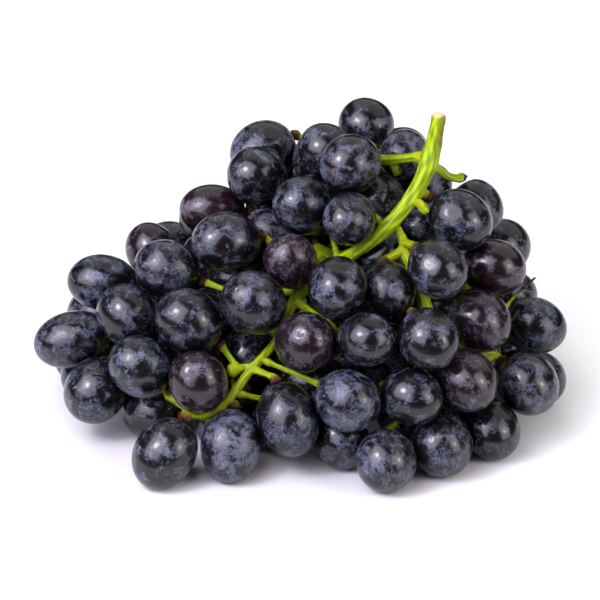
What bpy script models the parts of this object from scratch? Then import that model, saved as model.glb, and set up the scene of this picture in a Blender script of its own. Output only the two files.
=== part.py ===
"""A bunch of black table grapes lying on its side.

One green stalk is cut off high on the right and runs down through the front of
the bunch. Side branches and short stems lead from it to every berry. The berries
are laid out as a heap that leans back from its front foot, then settled until
each one only just clears its neighbours, the stalk and the table.
"""

import math

import bmesh
import bpy
import numpy as np
from mathutils import Matrix, Vector

MM = 0.001

# Driving dimensions, in millimetres.
BERRY_WIDTH = 20.5
BERRY_SLENDERNESS = 1.13
SKIN_GAP = 0.4
PRESSED_TOGETHER = 2.2
TABLE_PRESS = 0.5
STEM_END_GAP = 0.35
CAP_RADIUS = 2.2
CAP_LENGTH = 1.9
STEM_RADIUS = 0.85
BRANCH_STEP = 8.0
STEM_GAP = 0.5
# The cap from the berry inwards: depth as a share of its length, radius as a share of its own.
CAP_PROFILE = [(0.0, 0.8), (0.45, 1.0), (1.0, 0.5)]
PLAIN_CAP_PROFILE = [(0.0, 0.62), (1.0, 0.45)]
LOST_BERRY_CAP = 1.9
FACE_LEAN = math.radians(28)
BERRY_FACETS = (10, 7)
CLUSTER_FACETS = (9, 6)
MAIN_STEM_ROUNDNESS = 2
STEM_ROUNDNESS = 1

# How the bunch settles: how far each kind of push is followed, and how near a neighbour counts.
BUNCH_HEART = (5.0, -72.0, 36.0)
FACE_FREEDOM = (0.12, 0.12, 0.5)
PUSH_SHARE = 0.45
STEM_PUSH_SHARE = 0.25
HOME_SHARE = 0.06
HOMING_ROUNDS = 0.75
LEAST_EASE = 0.05
LONGEST_MOVE = 1.5
NEIGHBOUR_REACH = 32.0
STEM_REACH = 20.0
# How the hidden stems grow: what a long way to the root costs, how many joints are tried, and
# how fast a stem thickens with what hangs from it.
ROOT_COST = 0.3
JOINTS_TRIED = 24
THICKENING = 0.34
SMOOTHING_ROUNDS = 0.7

ON_TABLE = 0.0
ACROSS = np.array([1.0, 0.0, 0.0])
UP_FACE = np.array([0.0, math.sin(FACE_LEAN), math.cos(FACE_LEAN)])
OUT_OF_FACE = np.array([0.0, -math.cos(FACE_LEAN), math.sin(FACE_LEAN)])
FACE_AXES = np.array([ACROSS, UP_FACE, OUT_OF_FACE])

# The main stem, from the cut end to the tip: across, up the face, height above the table, and
# its radius there. It is thickest at the first knot, where two side branches leave it.
STALK_ROUTE = [
    (49, 65, 106, 2.2),
    (46, 50, 96, 3.1),
    (41, 39, 87, 2.6),
    (33, 28, 77, 2.5),
    (23, 19, 69, 2.1),
    (9, 11, 57, 1.8),
    (-2, 0, 49, 1.6),
    (-8, -14, 39, 1.4),
    (-17, -24, 32, 1.2),
    (-26, -36, 23, 1.0),
    (-34, -41, 19, 0.85),
]

# Side branches that can be seen: each runs from its free end back to the main stem
# (across, up the face, height), with its radius.
SIDE_BRANCHES = [
    (1.6, [(19, 51, 80), (28, 49.5, 88), (37, 50, 92), (45, 51, 96)]),
    (1.4, [(57, 43, 82), (53, 43.5, 85), (48.5, 46, 90), (45, 47, 93)]),
    (1.05, [(31, 14.5, 64), (36.5, 18, 67), (35.5, 23, 71), (32.5, 27.5, 75.5)]),
    (1.0, [(-24.5, -25, 31), (-19, -23.5, 32), (-15, -22.5, 33)]),
]
# Stems whose outer end can be seen and whose root is hidden: a branch on the right, a short stub
# beside the main stem and a dry twig at the right-hand edge, where berries have been lost.
LOOSE_STEMS = [
    (1.2, [(67.5, -21, 27), (62, -17, 31), (57, -17, 34), (50, -20, 36)]),
    (1.1, [(44.5, 31, 80), (42, 34, 83)]),
    (0.55, [(83.5, 8, 51), (80.5, 5.5, 48), (77, 2.5, 45), (74, -1, 42)]),
    (0.45, [(79, 10, 52), (80, 6.5, 49)]),
    (0.45, [(82.5, 3.5, 48), (79.5, 4.2, 47)]),
]

# Berries of the front face. Each is: across, up the face, height of its middle above the table,
# width, then where it matters its length and the way its flower end points (across, up, out).
CROWN = [
    (23, 60.5, 90, 19.5, 20.5, (-0.83, 0.52, -0.15)),
    (36, 50.5, 82, 17.5, 19.5, (0.2, 0.4, -0.6)),
    (9, 51, 85, 19, 20, (-0.7, 0.5, 0.2)),
    (18, 47, 88, 21, 23, (-0.5, -0.2, 0.8)),
    (27.5, 37, 80, 19, 21.5, (-0.5, -0.3, 0.7)),
    (44, 40.5, 71, 18.5, 19.5, (0.6, 0.2, -0.5)),
    (18, 28, 78, 18.5, 21, (-0.4, -0.4, 0.8)),
]
LEFT_SHOULDER = [
    (-11.5, 48.5, 73, 21.5, 24.5, (-0.8, -0.4, 0.3)),
    (-14, 42.5, 77, 21, 23, (-0.5, 0.3, 0.8)),
    (-31, 31, 62, 18.5, 24, (-0.97, 0.05, 0.2)),
    (-26.5, 20, 63, 21, 25.5, (-0.9, -0.1, 0.4)),
    (0, 31.5, 77, 20.5, 22.5, (-0.6, 0.1, 0.8)),
    (-3, 15.5, 65, 19),
]
LEFT_FLANK = [
    (-52, 16.5, 45, 18.5, 22, (-0.5, 0.8, 0.1)),
    (-45.5, 9.5, 54, 21),
    (-69, 5.5, 42, 20.5, 25, (-0.95, 0.1, 0.25)),
    (-61, -5.5, 42, 21),
    (-39, -8, 46, 22.5),
    (-80, -15, 30, 20, 27.5, (-0.95, -0.3, 0.0)),
    (-56, -23.5, 33, 21.5),
]
TIP = [
    (-72.5, -31, 19, 22, 25, (-0.4, -0.75, 0.5)),
    (-51.5, -39, ON_TABLE, 20.5),
    (-36, -29.5, 31, 20.5),
    (-47, -53.5, ON_TABLE, 22, 27, (-0.5, -0.85, 0.1)),
    (-24.5, -49, ON_TABLE, 21, 26.5, (-0.1, -0.97, 0.25)),
]
HEART = [
    (-15.5, -1.5, 55, 23),
    (2.5, -14, 46, 21.5),
    (15, 4.5, 62, 20.8),
    (32.5, 3, 57, 20, 22, (0.1, -0.8, 0.5)),
    (22.5, -14, 47, 19.5),
    (42.5, -13, 47, 21),
]
FOOT = [
    (-4.5, -41.5, 18, 21.5, 27, (0.3, -0.93, 0.2)),
    (19, -35, 29, 22),
    (37.5, -33.5, 31, 20.5),
    (14.5, -49, ON_TABLE, 20),
    (31, -54.5, ON_TABLE, 21.5, 23.5, (0.0, -0.7, 0.7)),
    (51.5, -48.5, ON_TABLE, 22, 24, (0.1, -0.7, 0.7)),
    (66, -46.5, ON_TABLE, 20, 23, (0.3, -0.8, 0.5)),
]
RIGHT_SHOULDER = [
    (55, 28.5, 75, 21),
    (62.5, 32, 65, 18.5, 21, (0.4, -0.75, 0.1)),
    (45.5, 9.5, 64, 20.5),
    (68, 11, 57, 20, 23.5, (0.95, -0.15, 0.25)),
    (68.5, 18, 47, 20.5, 21.5, (0.8, 0.2, -0.2)),
]
RIGHT_FLANK = [
    (63.5, -6.5, 45, 21.5),
    (83, -9, 33, 20, 23.5, (0.93, -0.36, 0.1)),
    (58, -28, 31, 21),
    (79, -31, 21, 21.5, 23.5, (0.7, -0.65, 0.35)),
]
FACE_GROUPS = {
    "crown": CROWN,
    "left_shoulder": LEFT_SHOULDER,
    "left_flank": LEFT_FLANK,
    "tip": TIP,
    "heart": HEART,
    "foot": FOOT,
    "right_shoulder": RIGHT_SHOULDER,
    "right_flank": RIGHT_FLANK,
}

# Berries behind the front ones, each cluster pressed together as one piece: across, back, height.
INNER_CLUSTERS = {
    "inner_crown_berries": [(51, -54, 56), (43, -69, 66), (30, -76, 62), (18, -84, 53)],
    "inner_left_berries": [
        (0, -55, 80),
        (-12, -68, 66),
        (-21, -72, 54),
        (-31, -84, 46),
        (-43, -72, 38),
        (-56, -74, 26),
        (-40, -62, 18),
    ],
    "inner_front_berries": [
        (-18, -106, 38),
        (-25, -112, 27),
        (-34, -105, ON_TABLE),
        (-12, -111, ON_TABLE),
        (3.5, -119, 26),
    ],
    "inner_right_berries": [
        (34, -105, 46),
        (40, -108, 28),
        (33, -107, ON_TABLE),
        (60, -94, ON_TABLE),
        (62, -78, 18),
        (56, -66, 34),
    ],
    "inner_table_berries": [
        (-32, -84, ON_TABLE),
        (-10, -84, ON_TABLE),
        (12, -90, ON_TABLE),
        (14, -68, ON_TABLE),
        (34, -66, ON_TABLE),
        (36, -58, 30),
        (20, -48, 42),
        (4, -52, 54),
    ],
}

# Rows around the back, whose berries stand low and high in turn: the two heights, the middle
# (across, back), half width, depth, and the first and last angle of the arc, in degrees from the
# right-hand side round the back to the left.
BACK_ROWS = {
    "back_table_berries": (ON_TABLE, 20, (1, -72), 75, 55, -6, 186),
    "back_low_berries": (31, 38, (3, -70), 63, 51, 8, 170),
    "back_middle_berries": (47, 54, (8, -66), 49, 41, 10, 166),
    "back_high_berries": (63, 70, (13, -58), 33, 31, 50, 146),
    "back_top_berries": (77, 80, (18, -52), 18, 15, 30, 95),
}
ROW_SPACING = 16.5
ROW_SWAY = 2.0
LONG_ROW = 9
WIDTH_SPREAD = 0.6


def unit(vector):
    return np.asarray(vector, float) / np.linalg.norm(vector)


def in_space(across, rise, height):
    """The point at this height above the table that lies at (across, rise) on the face."""
    back = (rise - height * math.cos(FACE_LEAN)) / math.sin(FACE_LEAN)
    return np.array([across, back, height])


def smooth_route(points, steps):
    """A Catmull-Rom curve through the points, with this many steps between each two."""
    points = np.asarray(points, float)
    padded = np.vstack([2 * points[0] - points[1], points, 2 * points[-1] - points[-2]])
    route = []
    for a, b, c, d in zip(padded, padded[1:], padded[2:], padded[3:]):
        for t in np.arange(steps) / steps:
            bend = (2 * a - 5 * b + 4 * c - d) * t**2 + (3 * b - a - 3 * c + d) * t**3
            route.append(b + 0.5 * ((c - a) * t + bend))
    return np.array(route + [points[-1]])


class Berries:
    """Every berry of the bunch as an ellipsoid: middle, axis, width and length."""

    def __init__(self):
        self.aims = []
        self.axes = []
        self.sizes = []
        self.clusters = []
        self.on_table = []
        self.on_face = []

    def add(self, aim, axis, width, length, cluster, on_table, on_face):
        self.aims.append(aim)
        self.axes.append(unit(axis))
        self.sizes.append((width / 2, length / 2))
        self.clusters.append(cluster)
        self.on_table.append(on_table)
        self.on_face.append(on_face)

    def finish(self):
        self.aims = np.array(self.aims, float)
        self.axes = np.array(self.axes)
        self.sizes = np.array(self.sizes)
        self.on_table = np.array(self.on_table)
        self.on_face = np.array(self.on_face)
        self.middles = self.aims.copy()
        round_part = self.sizes[:, 0, None, None] ** 2 * np.eye(3)
        stretch = self.sizes[:, 1] ** 2 - self.sizes[:, 0] ** 2
        along = self.axes[:, :, None] * self.axes[:, None, :]
        self.forms = round_part + stretch[:, None, None] * along


def away_from_stalk(aim, route):
    """The way a berry points when nothing else turns it: away from the stem that feeds it."""
    nearest = route[np.argmin(np.linalg.norm(route - aim, axis=1))]
    return unit(aim - nearest) + 0.35 * OUT_OF_FACE


def lay_out(route):
    """Every berry at its aim, as a Berries record and the list of its clusters' names."""
    berries = Berries()
    names = []
    for place, group in FACE_GROUPS.items():
        for number, (across, rise, height, width, *rest) in enumerate(group, 1):
            length, points = rest or (width * BERRY_SLENDERNESS, None)
            on_table = height == ON_TABLE
            aim = in_space(across, rise, width / 2 if on_table else height)
            axis = away_from_stalk(aim, route) if points is None else np.array(points) @ FACE_AXES
            berries.add(aim, axis, width, length, len(names), on_table, True)
            names.append(f"{place}_berry_{number}")
    hidden = dict(INNER_CLUSTERS)
    for name, (low, high, middle, half_width, depth, first, last) in BACK_ROWS.items():
        first, last = math.radians(first), math.radians(last)
        arc = (last - first) * math.sqrt((half_width**2 + depth**2) / 2)
        count = round(arc / ROW_SPACING) + 1
        row = []
        for number, angle in enumerate(np.linspace(first, last, count)):
            sway = ROW_SWAY * (-1) ** number
            across = middle[0] + (half_width + sway) * math.cos(angle)
            back = middle[1] + (depth + sway) * math.sin(angle)
            row.append((across, back, high if number % 2 else low))
        if count < LONG_ROW:
            hidden[name] = row
        else:
            hidden[name + "_right"] = row[: count // 2]
            hidden[name + "_left"] = row[count // 2 :]
    for name, cluster in hidden.items():
        for number, (across, back, height) in enumerate(cluster):
            on_table = height == ON_TABLE
            width = BERRY_WIDTH + WIDTH_SPREAD * math.sin(2.4 * number + len(names))
            aim = np.array([across, back, width / 2 if on_table else height])
            axis = unit(aim - BUNCH_HEART) + [0, 0, 0.2 * math.cos(1.7 * number)]
            length = width * BERRY_SLENDERNESS
            berries.add(aim, axis, width, length, len(names), on_table, False)
        names.append(name)
    berries.finish()
    return berries, names


def measure_gaps(offsets, forms_a, forms_b):
    """The gap between pairs of ellipsoids, negative where they overlap, and its direction."""
    reach = np.linalg.norm(offsets, axis=1, keepdims=True)
    toward = offsets / reach
    for _ in range(7):
        pull_a = np.einsum("ijk,ik->ij", forms_a, toward)
        pull_b = np.einsum("ijk,ik->ij", forms_b, toward)
        far_a = np.sqrt((pull_a * toward).sum(axis=1, keepdims=True))
        far_b = np.sqrt((pull_b * toward).sum(axis=1, keepdims=True))
        toward = toward + (offsets - pull_a / far_a - pull_b / far_b) / np.maximum(reach, BERRY_WIDTH)
        toward /= np.linalg.norm(toward, axis=1, keepdims=True)
    pull_a = np.einsum("ijk,ik->ij", forms_a, toward)
    pull_b = np.einsum("ijk,ik->ij", forms_b, toward)
    far = np.sqrt((pull_a * toward).sum(axis=1)) + np.sqrt((pull_b * toward).sum(axis=1))
    return (offsets * toward).sum(axis=1) - far, toward


def settle(berries, stem_points, stem_radii, rounds=900):
    """Moves the berries apart, off the stems and onto the table, as near their aims as they fit."""
    count = len(berries.aims)
    stem_ends = -berries.axes * (berries.sizes[:, 1:] + STEM_END_GAP + CAP_LENGTH / 2)
    spots = np.vstack([np.zeros((count, 3)), stem_ends])
    owners = np.tile(np.arange(count), 2)
    ball = np.eye(3)
    forms = np.concatenate([berries.forms, np.tile(ball * CAP_RADIUS**2, (count, 1, 1))])
    stem_forms = ball * (stem_radii[:, None, None] + 0.2) ** 2
    # How easily each berry moves: those of the face keep their place on it and give in depth.
    freedom = np.tile(np.eye(3), (count, 1, 1))
    freedom[berries.on_face] = FACE_AXES.T @ np.diag(FACE_FREEDOM) @ FACE_AXES
    freedom[berries.on_table, 2, :] = 0
    freedom[berries.on_table, :, 2] = 0
    drop = np.sqrt(berries.forms[:, 2, 2])
    first, second = np.triu_indices(2 * count, 1)
    real = (owners[first] != owners[second]) & (first < count)
    first, second = first[real], second[real]
    clusters = np.array(berries.clusters)
    both_berries = second < count
    same = (clusters[owners[first]] == clusters[owners[second]]) & both_berries
    chained = same & (np.abs(first - second) == 1)
    wanted = np.where(same, -PRESSED_TOGETHER, SKIN_GAP)
    for turn in range(rounds):
        if turn % 10 == 0:
            places = berries.middles[owners] + spots
            spread = np.linalg.norm(places[first] - places[second], axis=1)
            near = np.nonzero((spread < NEIGHBOUR_REACH) | chained)[0]
            to_stem = np.linalg.norm(berries.middles[:, None] - stem_points[None], axis=2)
            near_berry, near_stem = np.nonzero(to_stem < STEM_REACH)
        a, b = first[near], second[near]
        berry_a, berry_b = owners[a], owners[b]
        offsets = berries.middles[berry_b] + spots[b] - berries.middles[berry_a] - spots[a]
        gaps, toward = measure_gaps(offsets, forms[a], forms[b])
        lack = wanted[near] - gaps
        lack = np.where(chained[near], lack, np.maximum(lack, 0))
        give_a = np.einsum("ijk,ik->ij", freedom[berry_a], toward)
        give_b = np.einsum("ijk,ik->ij", freedom[berry_b], toward)
        ease = (give_a * toward).sum(axis=1) + (give_b * toward).sum(axis=1)
        push = PUSH_SHARE * lack / np.maximum(ease, LEAST_EASE)
        moves = np.zeros((count, 3))
        np.add.at(moves, berry_a, -push[:, None] * give_a)
        np.add.at(moves, berry_b, push[:, None] * give_b)
        offsets = berries.middles[near_berry] - stem_points[near_stem]
        gaps, toward = measure_gaps(offsets, stem_forms[near_stem], berries.forms[near_berry])
        lack = np.maximum(SKIN_GAP - gaps, 0)
        give = np.einsum("ijk,ik->ij", freedom[near_berry], toward)
        ease = np.maximum((give * toward).sum(axis=1), LEAST_EASE)
        np.add.at(moves, near_berry, (STEM_PUSH_SHARE * lack / ease)[:, None] * give)
        home = HOME_SHARE * max(0.0, 1 - turn / (HOMING_ROUNDS * rounds))
        moves += home * (berries.aims - berries.middles)
        length = np.linalg.norm(moves, axis=1, keepdims=True)
        berries.middles += moves * np.minimum(1, LONGEST_MOVE / np.maximum(length, 1e-9))
        lowest = drop + SKIN_GAP
        high = np.maximum(berries.middles[:, 2], lowest)
        berries.middles[:, 2] = np.where(berries.on_table, drop - TABLE_PRESS, high)


def clear_of(points, berries):
    """How far outside the nearest berry each point lies, and the way straight out of that berry."""
    offsets = points[:, None] - berries.middles[None]
    reach = np.linalg.norm(offsets, axis=2)
    scale = np.sqrt(np.einsum("nmi,mij,nmj->nm", offsets, np.linalg.inv(berries.forms), offsets))
    outside = reach * (1 - 1 / scale)
    nearest = np.argmin(outside, axis=1)
    row = np.arange(len(points))
    return outside[row, nearest], offsets[row, nearest] / reach[row, nearest][:, None]


def sample_stems(stalk, main_length, spacing=1.5):
    """Places close together along every stem that can be seen, with the stem's radius at each."""
    lines = []
    for stem in [range(main_length), *stalk.stems]:
        lines.append([(stalk.points[knot], stalk.radii[knot]) for knot in stem])
    for radius, stem in LOOSE_STEMS:
        lines.append([(in_space(*place), radius) for place in stem])
    places, radii = [], []
    for line in lines:
        for (start, start_radius), (end, end_radius) in zip(line, line[1:]):
            steps = max(2, math.ceil(np.linalg.norm(end - start) / spacing))
            for share in np.linspace(0, 1, steps):
                places.append(start + (end - start) * share)
                radii.append(start_radius + (end_radius - start_radius) * share)
    return np.array(places), np.array(radii)


class Stalk:
    """The stalk as points joined into stems; each stem runs from its free end to the stem that bears it."""

    def __init__(self, route, radii):
        self.points = list(route)
        self.radii = list(radii)
        self.to_root = [0.0] * len(route)
        self.held = [True] * len(route)
        self.joinable = [True] * len(route)
        self.stems = []

    def add_stem(self, points, radius, joint, held, closed=0):
        """Adds the points, which end at the existing point numbered joint; the first few can't be joined."""
        numbers = list(range(len(self.points), len(self.points) + len(points)))
        ends = np.vstack([points, self.points[joint]])
        steps = np.linalg.norm(np.diff(ends, axis=0), axis=1)
        self.points += list(points)
        self.radii += [radius] * len(points)
        self.to_root += list(np.cumsum(steps[::-1])[::-1] + self.to_root[joint])
        self.held += list(held)
        self.joinable += [number >= closed for number in range(len(points))]
        self.stems.append(numbers + [joint])

    def nearest(self, place):
        return int(np.argmin(np.linalg.norm(np.array(self.points) - place, axis=1)))

    def best_joint(self, start, berries):
        """The point to grow to from start: near, not far from the main stem, with few berries in the way."""
        known = np.array(self.points)
        cost = np.linalg.norm(known - start, axis=1) + ROOT_COST * np.array(self.to_root)
        cost[~np.array(self.joinable)] = np.inf
        candidates = np.argsort(cost)[:JOINTS_TRIED]
        for number in candidates:
            line = start + (known[number] - start) * np.linspace(0.1, 0.9, 9)[:, None]
            outside, _ = clear_of(line, berries)
            cost[number] += np.maximum(STEM_RADIUS + STEM_GAP - outside, 0).sum()
        return int(candidates[np.argmin(cost[candidates])])

    def grow_inwards(self, held_points, radius, closed, berries):
        """A stem from the held points at its free end, by even steps, to the best joint."""
        start = held_points[-1]
        joint = self.best_joint(start, berries)
        reach = np.linalg.norm(self.points[joint] - start)
        count = max(1, round(reach / BRANCH_STEP))
        free = [start + (self.points[joint] - start) * k / count for k in range(1, count)]
        points = np.array(held_points + free)
        held = [True] * len(held_points) + [False] * len(free)
        points = bend_clear(points, self.points[joint], np.array(held), radius, berries)
        self.add_stem(points, radius, joint, held, closed)

    def thicken(self):
        """Makes each stem thick enough for all that hang from it, thickest at the root."""
        load = np.zeros(len(self.points))
        for stem in reversed(self.stems):
            carried = 1.0
            for number in stem[:-1]:
                load[number] += carried
                carried = load[number]
            load[stem[-1]] += carried
        for number in np.nonzero(~np.array(self.held))[0]:
            grown = STEM_RADIUS * load[number] ** THICKENING
            self.radii[number] = max(self.radii[number], grown)


def bend_clear(points, joint, held, radius, berries, rounds=60):
    """The stem's points bent out of the berries; held points stay where they are."""
    points = points.copy()
    free = ~held
    if not free.any():
        return points
    for _ in range(rounds):
        line = np.vstack([points, joint])
        middle = (line[:-2] + line[2:]) / 2
        points[1:][free[1:]] += 0.3 * (middle - points[1:])[free[1:]]
        outside, away = clear_of(points, berries)
        push = np.maximum(radius + STEM_GAP - outside, 0)
        points[free] += (away * push[:, None])[free]
    return points


def settle_stalk(stalk, berries, rounds=320):
    """Bends every free point of the finished stalk clear of the berries at its own thickness."""
    points = np.array(stalk.points)
    radii = np.array(stalk.radii)
    free = ~np.array(stalk.held)
    before, between, after = [], [], []
    starts, ends = [], []
    for stem in stalk.stems:
        starts += stem[:-1]
        ends += stem[1:]
        for a, b, c in zip(stem, stem[1:], stem[2:]):
            if free[b]:
                before.append(a)
                between.append(b)
                after.append(c)
    for turn in range(rounds):
        if turn < SMOOTHING_ROUNDS * rounds:
            middle = (points[before] + points[after]) / 2
            points[between] += 0.15 * (middle - points[between])
        for share in (0.5, 0.25, 0.75, 0.0):
            places = points[starts] * (1 - share) + points[ends] * share
            thickness = radii[starts] * (1 - share) + radii[ends] * share
            outside, away = clear_of(places, berries)
            push = away * np.maximum(thickness + STEM_GAP - outside, 0)[:, None]
            shift = np.zeros_like(points)
            np.add.at(shift, starts, push * (1 - share))
            np.add.at(shift, ends, push * share)
            points[free] += shift[free]
        points[free, 2] = np.maximum(points[free, 2], radii[free] + STEM_GAP)
    stalk.points = list(points)


def first_stems():
    """The main stem and the side branches that can be seen, before any berry is on them."""
    route = smooth_route([(*in_space(*place), radius) for *place, radius in STALK_ROUTE], 3)
    stalk = Stalk(route[:, :3], route[:, 3])
    for radius, branch in SIDE_BRANCHES:
        points = smooth_route([in_space(*place) for place in branch], 2)[:-1]
        stalk.add_stem(points, radius, stalk.nearest(points[-1]), [True] * len(points))
    stalk.radii[stalk.stems[-1][0]] = LOST_BERRY_CAP
    return stalk


def grow_stems(stalk, berries):
    """Adds the loose stems and the stem of every berry, each from its outer end inwards."""
    for radius, stem in LOOSE_STEMS:
        stalk.grow_inwards([in_space(*place) for place in stem], radius, 1, berries)
    route = np.array(stalk.points)
    lengths = berries.sizes[:, 1:] + STEM_END_GAP
    tips = berries.middles - berries.axes * lengths
    order = np.argsort([np.linalg.norm(route - tip, axis=1).min() for tip in tips])
    for berry in order:
        profile = CAP_PROFILE if berries.on_face[berry] else PLAIN_CAP_PROFILE
        cap = [tips[berry] - berries.axes[berry] * depth * CAP_LENGTH for depth, _ in profile]
        stalk.grow_inwards(cap, STEM_RADIUS, len(cap), berries)
        for number, (_, radius) in zip(stalk.stems[-1], profile):
            stalk.radii[number] = radius * CAP_RADIUS
    stalk.thicken()
    settle_stalk(stalk, berries)


def material(name, colour, roughness):
    made = bpy.data.materials.new(name)
    made.use_nodes = True
    shader = made.node_tree.nodes["Principled BSDF"]
    shader.inputs["Base Color"].default_value = (*colour, 1)
    shader.inputs["Roughness"].default_value = roughness
    shader.inputs["Metallic"].default_value = 0
    made.diffuse_color = (*colour, 1)
    return made


def add_object(name, mesh, skin, location=(0, 0, 0), turn=None):
    made = bpy.data.objects.new(name, mesh)
    mesh.materials.append(skin)
    mesh.shade_smooth()
    made.location = location
    if turn is not None:
        made.rotation_mode = "QUATERNION"
        made.rotation_quaternion = turn
    bpy.context.scene.collection.objects.link(made)
    return made


def hide_as_helper(made, collection):
    """Keeps an object only as an operand of a Boolean."""
    bpy.context.scene.collection.objects.unlink(made)
    collection.objects.link(made)
    made.hide_render = True
    made.display_type = "WIRE"


def helper_collection(name):
    made = bpy.data.collections.new(name)
    bpy.context.scene.collection.children.link(made)
    return made


def union_with(made, collection):
    join = made.modifiers.new("one body", "BOOLEAN")
    join.operation = "UNION"
    join.solver = "EXACT"
    join.operand_type = "COLLECTION"
    join.collection = collection


def make_berry(name, middle, axis, width, length, skin, segments, rings, on_table):
    """One berry: an ellipsoid turned to its axis, cut flat where it is pressed on the table."""
    turn = Vector((0, 0, 1)).rotation_difference(Vector(axis))
    place = Vector(middle) * MM
    bm = bmesh.new()
    bmesh.ops.create_uvsphere(bm, u_segments=segments, v_segments=rings, radius=MM)
    bmesh.ops.scale(bm, vec=(width / 2, width / 2, length / 2), verts=bm.verts)
    if on_table:
        to_local = (Matrix.Translation(place) @ turn.to_matrix().to_4x4()).inverted()
        down = turn.inverted() @ Vector((0, 0, -1))
        every = bm.verts[:] + bm.edges[:] + bm.faces[:]
        cut = bmesh.ops.bisect_plane(
            bm, geom=every, plane_co=to_local @ Vector((place.x, place.y, 0)), plane_no=down, clear_outer=True
        )
        rim = [item for item in cut["geom_cut"] if isinstance(item, bmesh.types.BMEdge)]
        bmesh.ops.contextual_create(bm, geom=rim)
    bmesh.ops.recalc_face_normals(bm, faces=bm.faces)
    mesh = bpy.data.meshes.new(name)
    bm.to_mesh(mesh)
    bm.free()
    return add_object(name, mesh, skin, place, turn)


def make_berries(berries, names, skin):
    """A single berry is its own object; a cluster is its first berry joined with the others."""
    for cluster, name in enumerate(names):
        members = [number for number, owner in enumerate(berries.clusters) if owner == cluster]
        fineness = BERRY_FACETS if len(members) == 1 else CLUSTER_FACETS
        made = []
        for number in members:
            width, length = 2 * berries.sizes[number]
            part_name = name if number == members[0] else f"{name}_part_{number - members[0] + 1}"
            made.append(
                make_berry(
                    part_name,
                    berries.middles[number],
                    berries.axes[number],
                    width,
                    length,
                    skin,
                    *fineness,
                    berries.on_table[number],
                )
            )
        if len(made) > 1:
            helpers = helper_collection(f"{name}_parts")
            for other in made[1:]:
                hide_as_helper(other, helpers)
            union_with(made[0], helpers)


def tube_mesh(name, points, radii, roundness):
    """A closed tapering tube through the points."""
    curve = bpy.data.curves.new(name, "CURVE")
    curve.dimensions = "3D"
    curve.bevel_depth = MM
    curve.bevel_resolution = roundness
    curve.use_fill_caps = True
    spline = curve.splines.new("POLY")
    spline.points.add(len(points) - 1)
    for knot, place, radius in zip(spline.points, points, radii):
        knot.co = (*(place * MM), 1)
        knot.radius = radius
    guide = bpy.data.objects.new(name, curve)
    bpy.context.scene.collection.objects.link(guide)
    mesh = bpy.data.meshes.new_from_object(guide.evaluated_get(bpy.context.evaluated_depsgraph_get()))
    bpy.data.objects.remove(guide)
    bm = bmesh.new()
    bm.from_mesh(mesh)
    bmesh.ops.remove_doubles(bm, verts=bm.verts, dist=1e-6)
    bmesh.ops.recalc_face_normals(bm, faces=bm.faces)
    bm.to_mesh(mesh)
    bm.free()
    return mesh


def make_stalk(stalk, main_length, skin):
    """The main stem with every other stem joined to it; each ends inside the one that bears it."""
    main_mesh = tube_mesh("stalk", stalk.points[:main_length], stalk.radii[:main_length], MAIN_STEM_ROUNDNESS)
    made = add_object("stalk", main_mesh, skin)
    helpers = helper_collection("stalk_parts")
    for number, stem in enumerate(stalk.stems, 1):
        radii = [stalk.radii[knot] for knot in stem]
        radii[-1] = 0.85 * min(radii[-2:])
        mesh = tube_mesh(f"stem_{number}", [stalk.points[knot] for knot in stem], radii, STEM_ROUNDNESS)
        hide_as_helper(add_object(f"stem_{number}", mesh, skin), helpers)
    union_with(made, helpers)


def centre_on_table():
    """Moves everything so that the origin is under the middle of the bunch, on the table."""
    bpy.context.view_layer.update()
    corners = [made.matrix_world @ vertex.co for made in bpy.data.objects for vertex in made.data.vertices]
    middle = (np.min(corners, axis=0) + np.max(corners, axis=0)) / 2
    for made in bpy.data.objects:
        made.location.x -= middle[0]
        made.location.y -= middle[1]


def main():
    for old in list(bpy.data.objects):
        bpy.data.objects.remove(old)
    stalk = first_stems()
    route_length = stalk.stems[0][0]
    berries, names = lay_out(np.array(stalk.points[:route_length]))
    settle(berries, *sample_stems(stalk, route_length))
    grow_stems(stalk, berries)
    make_berries(berries, names, material("dusty black grape skin", (0.022, 0.022, 0.034), 0.32))
    make_stalk(stalk, route_length, material("fresh green stalk", (0.34, 0.46, 0.03), 0.5))
    centre_on_table()


if __name__ == "__main__":
    main()
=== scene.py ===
# %% [markdown]
# # A bunch of black table grapes
#
# The bunch lies on its side on a white surface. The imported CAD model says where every
# berry and stem is. This lesson gives each berry its real skin, with the dusty bloom
# that rubs off where fruits touch, and gives the stalk its ridges, brown caps and cut
# end. Every step first says what the thing is, then how it is made.

import math

import bmesh
import bpy
import numpy as np
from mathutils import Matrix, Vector
from mathutils.kdtree import KDTree


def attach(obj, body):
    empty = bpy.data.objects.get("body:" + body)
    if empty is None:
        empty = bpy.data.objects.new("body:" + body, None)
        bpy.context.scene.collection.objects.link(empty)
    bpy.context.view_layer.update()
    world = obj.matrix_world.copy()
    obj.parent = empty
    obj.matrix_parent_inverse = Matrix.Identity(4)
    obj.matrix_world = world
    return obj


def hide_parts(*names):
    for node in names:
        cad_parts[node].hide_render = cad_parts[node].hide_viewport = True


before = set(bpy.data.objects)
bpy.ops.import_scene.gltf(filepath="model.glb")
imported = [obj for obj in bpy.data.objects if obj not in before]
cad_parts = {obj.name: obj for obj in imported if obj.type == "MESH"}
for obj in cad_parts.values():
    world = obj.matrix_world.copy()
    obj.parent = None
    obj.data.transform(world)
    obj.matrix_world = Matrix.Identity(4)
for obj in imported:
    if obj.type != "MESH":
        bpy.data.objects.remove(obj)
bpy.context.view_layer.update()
MM = 0.001
stalk_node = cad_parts["stalk"]
berry_nodes = [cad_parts[name] for name in sorted(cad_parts) if name != "stalk"]
print("nodes that hold berries:", len(berry_nodes))

# %% [markdown]
# ## The camera
#
# A long lens from far away keeps the berries at the back nearly as large as those in
# front. It looks down at the bunch by 28 degrees, at a point a little above the middle
# of the table under it.

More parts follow.
